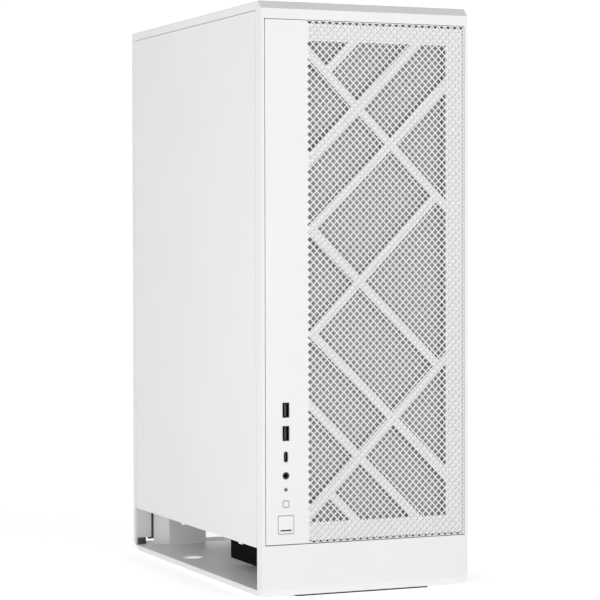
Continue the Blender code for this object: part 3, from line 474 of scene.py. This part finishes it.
REAR_FACE, BOARD_FACE = 339.8, 174.7
SLOT_TOP, SLOT_PITCH = 281.0, 20.32
CPU_Y, CPU_Z = 258.0, 395.0
MEMORY_Y = (160.0, 178.0)
LARGE_FAN_REACH, REAR_FAN_REACH = 62.25, 52.5
SUNK = 0.05


def boxes(name, key, spans, body="case", bevel=0.0):
    """Upright boxes as one piece, each from its x, y and z spans."""
    bm = bmesh.new()
    for x, y, z in spans:
        add_box(bm, x, y, z)
    return finish_piece(name, bm, key, body, bevel=bevel)


def rods(name, key, low, high, radius, centres):
    """Round bars across X, as one piece."""
    bm = bmesh.new()
    for centre in centres:
        add_prism(bm, circle(centre, radius, 20), "X", low, high)
    return finish_piece(name, bm, key, "case", bevel=min(0.4, radius * 0.2))


def screws(name, places, radius, low, high, axis="Y"):
    """Screw heads that stand from low to high: a round pan with a cross-lobed drive on it."""
    bm = bmesh.new()
    step = (high - low) * 0.35
    arm = radius * 0.62
    for a, b in places:
        add_prism(bm, circle((a, b), radius, 18), axis, low, high - step)
        outline = []
        for i in range(12):
            turn = math.tau * i / 12
            reach = arm if i % 3 else arm * 1.25
            outline.append((a + reach * math.cos(turn), b + reach * math.sin(turn)))
        add_prism(bm, outline, axis, high - step, high)
    return finish_piece(name, bm, "steel", "case", bevel=0.25)


def square(centre, reach):
    """The four corners of a square about its middle."""
    return [(centre[0] + i * reach, centre[1] + j * reach) for i in (-1, 1) for j in (-1, 1)]


def rear_fittings():
    """Screws on the rear panel, and what shows inside the board's and the card's sockets."""
    seat = REAR_FACE - SUNK
    screws("slot_screws", [(64.0, SLOT_TOP - i * SLOT_PITCH) for i in range(7)], 3.2,
           seat, REAR_FACE + 3.0)
    screws("supply_screws", [(x, z) for x in (28.2, 173.8) for z in (56.0, 122.0)], 1.7,
           seat, REAR_FACE + 1.2)
    screws("rear_fan_screws", square((71.0, CPU_Z), REAR_FAN_REACH), 3.4,
           seat, REAR_FACE + 1.4)
    tongues = [((144.0, 166.0), z) for z in (439.0, 449.0)]
    tongues += [((145.0, 159.0), 418.0), ((149.5, 160.5), 370.6), ((149.5, 160.5), 377.4)]
    boxes("rear_port_tongues", "black",
          [(x, (329.6, 337.0), around(z, 2.2)) for x, z in tongues], bevel=0.2)
    pins = [((150.0 + 1.25 * i, 150.6 + 1.25 * i), (329.5, 336.5), around(z + 5.0, 0.8))
            for z in (394.0, 352.0) for i in range(8)]
    boxes("rear_network_pins", "gold", pins)
    for i, x in enumerate((147.5, 157.0, 166.5)):
        add_ring(f"rear_audio_{i + 1}", circle((x, 330.0), 3.9, 28), circle((x, 330.0), 1.9, 28),
                 (330.5, 338.6), "dark", "case")
    boxes("graphics_port_tongues", "black",
          [((90.0 + i * 18.4, 99.0 + i * 18.4), (336.0, 338.6), around(251.4, 1.6))
           for i in range(4)], bevel=0.15)


def rear_corner_shade_strips():
    """Dark strips of painted shade behind each rear leg, for the shaded gaps there: one beside the
    column, one short one below the leg.
    """
    spans = []
    for x, z in (((13.0, 21.0), (12.0, 43.8)), ((3.0, 11.0), (7.1, 14.5))):
        spans += [(x, (340.3, 341.5), z), ((WIDTH - x[1], WIDTH - x[0]), (340.3, 341.5), z)]
    boxes("rear_corner_shade_strips", "gap_shade", spans, bevel=0.3)


def top_fittings():
    """The dust cloth under the top panel's slots, in its thin frame."""
    bm = bmesh.new()
    add_prism(bm, rounded((18.0, 184.0), (34.0, 318.0), 3.0), "Z", 521.3, 521.8)
    finish_piece("top_dust_cloth", bm, "dark_cloth", "top_panel")
    frame_bars = [(x, (32.0, 320.0), (520.0, 522.2)) for x in ((16.0, 19.0), (183.0, 186.0))]
    frame_bars += [((16.0, 186.0), y, (520.0, 522.2)) for y in
                   ((31.0, 34.0), (174.5, 177.5), (318.0, 321.0))]
    boxes("top_dust_frame", "dark", frame_bars, "top_panel", 0.3)


def fan_screws():
    places = [p for z in (137.7, 277.7, 417.7) for p in square((112.0, z), LARGE_FAN_REACH)]
    screws("front_fan_screws", places, 3.3, 21.95, 20.6)
    screws("base_fan_screws", square((101.0, 91.0), LARGE_FAN_REACH), 3.3, 45.75, 47.2, "Z")


def cooler_details():
    """Thin fins between the comb's thick ones, and the heat pipes."""
    fins = []
    for gap in range(14):
        for i in (1, 2, 3):
            x = 32.0 + 8.0 * gap + 1.6 * i + 0.6
            fins.append(((x, x + 0.4), (233.4, 282.6), (336.4, 453.6)))
    boxes("cooler_fins", "aluminium", fins)
    centres = [(CPU_Y + dy, CPU_Z + dz) for dy in (-16, 16) for dz in (-36, -12, 12, 36)]
    rods("heat_pipe_ends", "aluminium", 28.6, 33.0, 3.0, centres)
    centres = [(CPU_Y + dy, CPU_Z + dz) for dy in (-11, 11) for dz in (-15, -5, 5, 15)]
    rods("heat_pipes", "copper", 138.0, 166.0, 2.9, centres)


def board_details():
    """What stands on the main board, the card's back plates and the screws of the board."""
    face = BOARD_FACE
    heatsinks = (("supply_heatsink_top", (206.0, 300.0), (458.0, 468.0), 20.0, 12),
                 ("supply_heatsink_rear", (288.0, 301.0), (330.0, 450.0), 18.0, 14))
    for name, y, z, high, count in heatsinks:
        spans = [((face - high * 0.45, face), y, z)]
        along = y if y[1] - y[0] > z[1] - z[0] else z
        step = (along[1] - along[0]) / count
        for i in range(count):
            part = (along[0] + step * i + 0.3, along[0] + step * (i + 0.62))
            spans.append(((face - high, face - high * 0.45 + 0.1),
                          part if along is y else y, z if along is y else part))
        boxes(name, "dark_paint", spans, bevel=0.3)
    rods("capacitors", "aluminium", face - 9.0, face, 3.1,
         [(212.0 + 9.0 * i, 446.0) for i in range(8)] +
         [(118.0 + 9.0 * i, 300.0) for i in range(4)])
    boxes("chokes", "dark", [((face - 7.0, face), around(212.0 + 10.5 * i, 8.0), (429.0, 437.0))
                             for i in range(6)], bevel=0.6)
    boxes("chip_cover", "dark_paint", [((face - 6.0, face), (112.0, 164.0), (186.0, 232.0)),
                                       ((face - 4.5, face), (200.0, 300.0), (226.0, 248.0))],
          bevel=1.2)
    boxes("spare_card_slots", "dark",
          [((face - 11.0, face - 0.1), (208.0, 298.0),
            around(SLOT_TOP - k * SLOT_PITCH + shift, high))
           for k in (3, 5) for shift, high in ((2.6, 1.6), (0.0, 3.0))], bevel=0.3)
    boxes("main_power_socket", "black",
          [((face - 12.0, face), (97.0, 106.0), (348.0, 400.0))] +
          [((face - 12.6, face - 11.9), (98.0 + 4.2 * row, 100.6 + 4.2 * row),
            around(351.0 + 4.2 * i, 2.4)) for i in range(12) for row in (0, 1)], bevel=0.2)
    boxes("drive_sockets", "black",
          [((face - 8.0, face), (94.0, 108.0), around(250.0 + 17.0 * i, 14.0))
           for i in range(3)], bevel=0.4)
    boxes("memory_latches", "white_plastic",
          [((face - 16.0, face), around(y, 6.0), around(CPU_Z + s * 70.5, 6.0))
           for y in MEMORY_Y for s in (-1, 1)], bevel=0.5)
    boxes("memory_sockets", "black",
          [((face - 7.0, face), (y + s * 3.6, y + s * 3.6 + 1.2), around(CPU_Z, 138.0))
           for y in MEMORY_Y for s in (-1.35, 1)], bevel=0.2)
    boxes("graphics_backplate", "dark_paint",
          [((56.0, 161.0), (98.0 + 29.0 * i, 125.0 + 29.0 * i), (261.6, 262.8)) for i in range(8)],
          bevel=0.4)
    places = [(y, z) for y in (104.0, 214.0, 324.0) for z in (172.0, 317.0, 462.0)
              if (y, z) != (324.0, 317.0)]
    screws("board_screws", places, 2.6, face + 0.25, face - 1.2, "X")


# ---------------------------------------------------------------- stage and light

SKY_LOW, SKY_HIGH = 0.70, 0.38
FLOOR_GLOW = 0.42
FRONT_POWER, LEFT_POWER, LOW_POWER = 22.0, 2.7, 0.45


def add_stage():
    """A pale floor that curves up into a far wall."""
    bm = bmesh.new()
    path = [(-6.0, 0.0), (3.0, 0.0)]
    for i in range(1, 17):
        angle = math.pi / 2 * i / 16
        path.append((3.0 + 1.5 * math.sin(angle), 1.5 - 1.5 * math.cos(angle)))
    path.append((4.5, 6.0))
    rows = [[bm.verts.new((x, y, z)) for x in (-8.0, 8.0)] for y, z in path]
    for a, b in zip(rows, rows[1:]):
        bm.faces.new((a[0], a[1], b[1], b[0]))
    mesh = bpy.data.meshes.new("studio_sweep")
    bm.to_mesh(mesh)
    bm.free()
    floor = bpy.data.objects.new("studio_sweep", mesh)
    bpy.context.scene.collection.objects.link(floor)
    g = Graph("studio_white")
    g.colour(g.ramp(g.noise(2.0), [(0.3, (0.91, 0.91, 0.91)), (0.7, (0.93, 0.93, 0.93))]))
    g.set(roughness=0.9, emission_color=(1, 1, 1, 1), emission_strength=FLOOR_GLOW)
    mesh.materials.append(g.material)


def add_light(name, place, target, size, power):
    data = bpy.data.lights.new(name, "AREA")
    data.shape, data.size, data.size_y = "RECTANGLE", size[0], size[1]
    data.energy = power
    light = bpy.data.objects.new(name, data)
    light.location = place
    light.rotation_euler = (Vector(target) - Vector(place)).to_track_quat("-Z", "Y").to_euler()
    bpy.context.scene.collection.objects.link(light)


def add_lighting():
    """An even white studio that is a little dimmer overhead, two soft boxes and a low fill."""
    world = bpy.data.worlds.new("soft_studio")
    world.use_nodes = True
    tree = world.node_tree
    back = tree.nodes["Background"]
    coords = tree.nodes.new("ShaderNodeTexCoord").outputs["Generated"]
    split = tree.nodes.new("ShaderNodeSeparateXYZ")
    tree.links.new(coords, split.inputs["Vector"])
    fade = tree.nodes.new("ShaderNodeMapRange")
    for key, value in (("From Min", -0.1), ("From Max", 0.9), ("To Min", SKY_LOW),
                       ("To Max", SKY_HIGH)):
        fade.inputs[key].default_value = value
    tree.links.new(split.outputs["Z"], fade.inputs["Value"])
    tree.links.new(fade.outputs["Result"], back.inputs["Strength"])
    back.inputs["Color"].default_value = (1, 1, 1, 1)
    bpy.context.scene.world = world
    middle = (0.0, 0.0, 0.25)
    add_light("front_soft", (1.3, -2.4, 0.7), middle, (1.8, 1.6), FRONT_POWER)
    add_light("left_soft", (-0.9, -0.75, 0.4), (-0.1, -0.15, 0.27), (0.4, 0.7), LEFT_POWER)
    add_light("low_soft", (-0.9, -0.35, 0.06), (-0.09, 0.15, 0.03), (0.3, 0.1), LOW_POWER)
    bpy.context.scene.view_settings.view_transform = "Standard"


add_camera()
dress_frame()
front_mesh()
rear_fittings()
rear_corner_shade_strips()
top_fittings()
fan_screws()
cooler_details()
board_details()
add_stage()
add_lighting()
